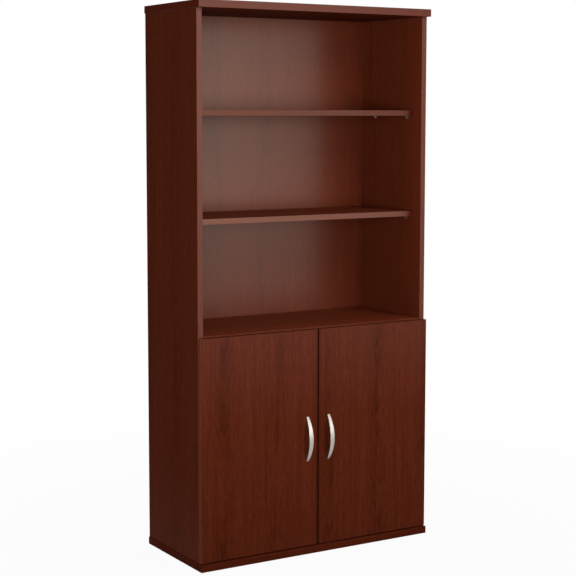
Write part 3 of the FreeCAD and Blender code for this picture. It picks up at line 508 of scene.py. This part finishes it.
def edge_band(name, grain, seed, pair, specular=PLAIN_SHEEN, tint=WHITE, other_pair=None, mask=None):
    """Plastic edge band, streaked and rubbed. A mask gives parts of it other colours and a plain sheen."""
    finish, tree, shader, axes = new_finish(name)
    figure = figure_at(tree, axes, grain, seed)
    colour = blended(tree, figure["Streaks"], *pair)
    if mask:
        colour = blended(tree, mask(tree, axes), colour, blended(tree, figure["Streaks"], *other_pair))
    wear = times(tree, rubbed(tree, axes, ARRIS_WIDTH), BAND_WEAR)
    colour = blended(tree, wear, colour, RUBBED_BROWN)
    tree.links.new(colour, shader.inputs["Base Color"])
    set_sheen(tree, shader, axes, BAND_ROUGHNESS, specular)
    if mask and specular != PLAIN_SHEEN:
        level = spread(tree, mask(tree, axes), 0.0, 1.0, specular, PLAIN_SHEEN)
        tree.links.new(level, shader.inputs["Specular IOR Level"])
    shader.inputs["Specular Tint"].default_value = tint
    set_relief(tree, shader, figure["Streaks"], BAND_RELIEF)
    return finish


def back_board():
    """Thin board with a smooth mahogany print inside and bare brown fibre outside."""
    finish, tree, shader, axes = new_finish("back_board")
    figure = figure_at(tree, axes, "Z", seed=7.3)
    fibre = noise(tree, place_of(tree, *axes), FIBRE_SCALE, FIBRE_DETAIL, FIBRE_GRIT)
    bare = blended(tree, spread(tree, fibre, *FIBRE_STEP), HARDBOARD_DARK, HARDBOARD_LIGHT)
    colour = blended(tree, facing_back(tree), mahogany_print(tree, figure, depth=0.54), bare)
    tree.links.new(colour, shader.inputs["Base Color"])
    set_sheen(tree, shader, axes, BACK_ROUGHNESS, BACK_SHEEN)
    shader.inputs["Specular Tint"].default_value = BACK_SHEEN_TINT
    set_relief(tree, shader, fibre, BACK_RELIEF)
    return finish


def metal(name, light, dull, worn, roughness, scratch_scale, brushed=None):
    """Metal with rubbed edges. Its scratches run along the brushed axis, or all ways."""
    finish, tree, shader, axes = new_finish(name)
    scales = [scratch_scale * (BRUSH_STRETCH if axis == brushed else 1.0) for axis in ("X", "Y", "Z")]
    place = place_of(tree, *[times(tree, axis, scale) for axis, scale in zip(axes, scales)])
    scratches = noise(tree, place, detail=FINE_DETAIL, roughness=FINE_GRIT)
    clouds = noise(tree, place_of(tree, *axes), 1.0 / SMALL_CLOUDS, detail=FINE_DETAIL)
    colour = blended(tree, spread(tree, clouds, *DULL_STEP), dull, light)
    wear = times(tree, rubbed(tree, axes, METAL_ARRIS_WIDTH, SMALL_CLOUDS), METAL_WEAR)
    tree.links.new(blended(tree, wear, colour, worn), shader.inputs["Base Color"])
    shader.inputs["Metallic"].default_value = 1.0
    set_sheen(tree, shader, axes, roughness, HARD_SHEEN, SMALL_CLOUDS)
    set_relief(tree, shader, scratches, METAL_RELIEF)
    return finish


def beech():
    """Turned beech with plain streaks."""
    finish, tree, shader, axes = new_finish("turned_beech")
    figure = figure_at(tree, axes, "Z", seed=3.1)
    tree.links.new(blended(tree, figure["Streaks"], BEECH_DARK, BEECH_LIGHT), shader.inputs["Base Color"])
    set_sheen(tree, shader, axes, BEECH_ROUGHNESS, BEECH_SHEEN)
    set_relief(tree, shader, figure["Streaks"], BEECH_RELIEF)
    return finish


def bumper_gel():
    """Pale hazy plastic. It is opaque."""
    finish, tree, shader, axes = new_finish("clear_bumper")
    haze = noise(tree, place_of(tree, *axes), GEL_HAZE_SCALE)
    tree.links.new(blended(tree, haze, GEL_CLEAR, GEL_HAZY), shader.inputs["Base Color"])
    set_sheen(tree, shader, axes, GEL_ROUGHNESS, HARD_SHEEN, SMALL_CLOUDS)
    return finish


def dress(finish, *names):
    """Gives the finish to CAD nodes. A name that ends in * stands for all nodes that start with it."""
    for name in names:
        for node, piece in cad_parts.items():
            if node == name or (name.endswith("*") and node.startswith(name[:-1])):
                for slot in range(len(piece.data.materials)):
                    piece.data.materials[slot] = finish


def dress_panels():
    """Finishes for the boards. A seed gives a finish a figure of its own."""
    side_left = laminate("laminate_side_left", "Z", seed=1.7, specular=SIDE_PAINTED_SHEEN, depth=0.62,
                         heart=SIDE_HEART)
    # The right side is a lighter copy of the side laminate, with painted light that pales it toward its
    # front.
    side_right = laminate("laminate_side_right", "Z", seed=2.4, depth=0.5, lift=0.25,
                          heart=SIDE_HEART, front_painted_light=0.36)
    door_heart = DOOR_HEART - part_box("door_panel_left")[0][1]
    door = door_laminate("laminate_door", "Z", seed=0.35, specular=DOOR_PAINTED_SHEEN, depth=0.80,
                         lift=-0.10, heart=door_heart)
    slab = laminate("laminate_slab", "X", seed=4.1, lift=-0.12)
    shelf = laminate("laminate_shelf", "X", seed=4.7, specular=SHELF_SHEEN, lift=0.14)
    # The fixed shelf is a much lighter copy of the shelf laminate, with painted light that pales it further
    # toward its front.
    fixed_shelf = laminate("laminate_fixed_shelf", "X", seed=5.2, specular=SHELF_SHEEN, depth=0.7,
                           lift=0.72, front_painted_light=0.8)
    dress(side_left, "side_panel_left")
    dress(side_right, "side_panel_right")
    dress(door, "door_panel_left", "door_panel_right")
    dress(slab, "top_slab", "base_slab")
    dress(shelf, "loose_shelf_top", "loose_shelf_middle", "loose_shelf_lower")
    dress(fixed_shelf, "fixed_shelf")
    dress(back_board(), "back_panel_*")


def dress_bands():
    side = edge_band("band_side", "Z", seed=2.2, pair=SIDE_BAND, specular=SIDE_BAND_SHEEN)
    # The door band is painted dark as painted shade, and lighter on the hinge edges as painted light.
    door = edge_band("band_door", "Z", seed=2.9, pair=DOOR_BAND_PAINTED_SHADE, other_pair=DOOR_BAND_PAINTED_LIGHT,
                     mask=at_painted_lit_edges)
    top = edge_band("band_top", "X", seed=6.3, pair=TOP_BAND, specular=TOP_BAND_SHEEN,
                    tint=TOP_SHEEN_TINT, other_pair=TOP_END_BAND, mask=at_ends)
    base = edge_band("band_base", "X", seed=5.6, pair=BASE_BAND)
    shelf = edge_band("band_shelf", "X", seed=5.1, pair=SHELF_BAND, specular=SHELF_BAND_SHEEN,
                      tint=BAND_SHEEN_TINT)
    # The middle shelf's band is a lit copy of the shelf band, with painted light and painted sheen.
    middle_shelf = edge_band("band_middle_shelf", "X", seed=5.8, pair=LIT_MIDDLE_SHELF_BAND,
                             specular=LIT_MIDDLE_SHELF_BAND_SHEEN, tint=BAND_SHEEN_TINT)
    fixed_shelf = edge_band("band_fixed_shelf", "X", seed=5.3, pair=FIXED_SHELF_BAND,
                            specular=FIXED_SHELF_BAND_SHEEN)
    dress(side, "side_edging_*")
    dress(door, "door_edging_*")
    dress(top, "top_slab_edging")
    dress(base, "base_slab_edging")
    dress(shelf, "loose_shelf_top_edging", "loose_shelf_lower_edging")
    dress(middle_shelf, "loose_shelf_middle_edging")
    dress(fixed_shelf, "fixed_shelf_edging")


def dress_fittings():
    nickel = metal("satin_nickel", NICKEL, NICKEL, NICKEL_RUBBED, NICKEL_ROUGHNESS, BRUSH_SCRATCHES,
                   brushed="Z")
    steel = metal("plated_steel", STEEL, STEEL_DULL, STEEL_RUBBED, STEEL_ROUGHNESS, STEEL_SCRATCHES)
    support = metal("support_zinc", SUPPORT_ZINC, SUPPORT_ZINC_DULL, STEEL_RUBBED, SUPPORT_ROUGHNESS,
                    STEEL_SCRATCHES)
    screw = metal("bright_screw", STEEL, STEEL_DULL, STEEL_RUBBED, SCREW_ROUGHNESS, SCREW_SCRATCHES)
    cast = metal("cast_zinc", ZINC, ZINC_DULL, STEEL_DULL, CAST_ROUGHNESS, CAST_SCRATCHES)
    dress(nickel, "pull_left", "pull_right")
    dress(steel, "back_nails", "base_screws", "cam_bolts", "hinge_cups_*", "hinge_arms_*", "long_links_*",
          "short_links_*", "mounting_plates_*", "arm_pins_*", "cup_pins_*")
    dress(support, "shelf_supports_*")
    dress(screw, "plate_screws_*", "cup_screws_*", "arm_screws_*", "pull_screws_*")
    dress(cast, "cam_locks")
    dress(beech(), "dowels")
    dress(bumper_gel(), "door_bumpers_*")


# ---- Studio ----
def seen(tree):
    """1 for rays that show the background: straight, mirrored or through glass."""
    rays = add(tree, "ShaderNodeLightPath").outputs
    shown = maths(tree, "MAXIMUM", rays["Is Camera Ray"], rays["Is Glossy Ray"])
    return maths(tree, "MAXIMUM", shown, rays["Is Transmission Ray"])


def make_floor():
    """A pale floor that takes the shadow near the bookcase and turns plain white farther out."""
    bpy.ops.mesh.primitive_plane_add(size=FLOOR_SIZE, location=(0, 0, 0))
    floor = bpy.context.object
    floor.name = "studio_floor"
    finish = bpy.data.materials.new("pale_floor")
    finish.use_nodes = True
    tree = finish.node_tree
    tree.nodes.clear()
    place = add(tree, "ShaderNodeTexCoord").outputs["Object"]
    away = add(tree, "ShaderNodeVectorMath", {0: place}, operation="LENGTH").outputs["Value"]
    glow = spread(tree, away, FLOOR_GLOW_START, FLOOR_GLOW_REACH, FLOOR_GLOW_NEAR, 1.0)
    shade = (FLOOR_SHADE, FLOOR_SHADE, FLOOR_SHADE, 1.0)
    matt = add(tree, "ShaderNodeBsdfDiffuse", {"Color": shade}).outputs[0]
    lit = add(tree, "ShaderNodeEmission", {"Color": WHITE, "Strength": 1.0}).outputs[0]
    mixed = add(tree, "ShaderNodeMixShader", {0: times(tree, glow, seen(tree)), 1: matt, 2: lit}).outputs[0]
    add(tree, "ShaderNodeOutputMaterial", {"Surface": mixed})
    floor.data.materials.append(finish)


def make_sky():
    """A plain grey sky for light, and plain white where the background shows."""
    world = bpy.data.worlds.new("studio")
    world.use_nodes = True
    bpy.context.scene.world = world
    tree = world.node_tree
    tree.nodes.clear()
    level = spread(tree, seen(tree), 0.0, 1.0, SKY_LEVEL, 1.0)
    glow = add(tree, "ShaderNodeBackground", {"Color": WHITE, "Strength": level}).outputs[0]
    add(tree, "ShaderNodeOutputWorld", {"Surface": glow})


def soft_box(name, place, aim, size, power, spread_angle=OPEN_SPREAD):
    """A soft lamp. A spread angle under the open one gathers its light about its aim."""
    lamp = bpy.data.lights.new(name, "AREA")
    lamp.shape = "RECTANGLE"
    lamp.size, lamp.size_y = size
    lamp.energy = power
    lamp.spread = math.radians(spread_angle)
    holder = bpy.data.objects.new(name, lamp)
    holder.location = place
    holder.rotation_euler = (aim - place).to_track_quat("-Z", "Y").to_euler()
    bpy.context.collection.objects.link(holder)


def make_camera():
    level_share = math.cos(CAMERA_DROP)
    ahead = Vector((math.sin(CAMERA_YAW) * level_share, math.cos(CAMERA_YAW) * level_share,
                    -math.sin(CAMERA_DROP)))
    level_right = Vector((math.cos(CAMERA_YAW), -math.sin(CAMERA_YAW), 0.0))
    upward = level_right.cross(ahead)
    right = level_right * math.cos(CAMERA_ROLL) + upward * math.sin(CAMERA_ROLL)
    upward = right.cross(ahead)
    lens = bpy.data.cameras.new("view")
    lens.sensor_width = SENSOR_WIDTH
    lens.lens = FOCAL_PIXELS / IMAGE_SIZE * SENSOR_WIDTH
    lens.shift_y = VIEW_SHIFT
    lens.clip_end = VIEW_REACH
    camera = bpy.data.objects.new("view", lens)
    turn = Matrix((right, upward, -ahead)).transposed()
    camera.matrix_world = Matrix.Translation(CAMERA_PLACE) @ turn.to_4x4()
    bpy.context.collection.objects.link(camera)
    bpy.context.scene.camera = camera


dress_panels()
dress_bands()
dress_fittings()
make_floor()
make_sky()
soft_box("main_light", MAIN_PLACE, MAIN_AIM, MAIN_SIZE, MAIN_POWER, MAIN_SPREAD)
soft_box("sheen_light", SHEEN_PLACE, SHEEN_AIM, SHEEN_SIZE, SHEEN_POWER)
soft_box("high_light", HIGH_PLACE, HIGH_AIM, HIGH_SIZE, HIGH_POWER, HIGH_SPREAD)
soft_box("low_light", LOW_PLACE, LOW_AIM, LOW_SIZE, LOW_POWER, LOW_SPREAD)
soft_box("rear_light", REAR_PLACE, REAR_AIM, REAR_SIZE, REAR_POWER)
make_camera()
bpy.context.scene.view_settings.view_transform = "Standard"
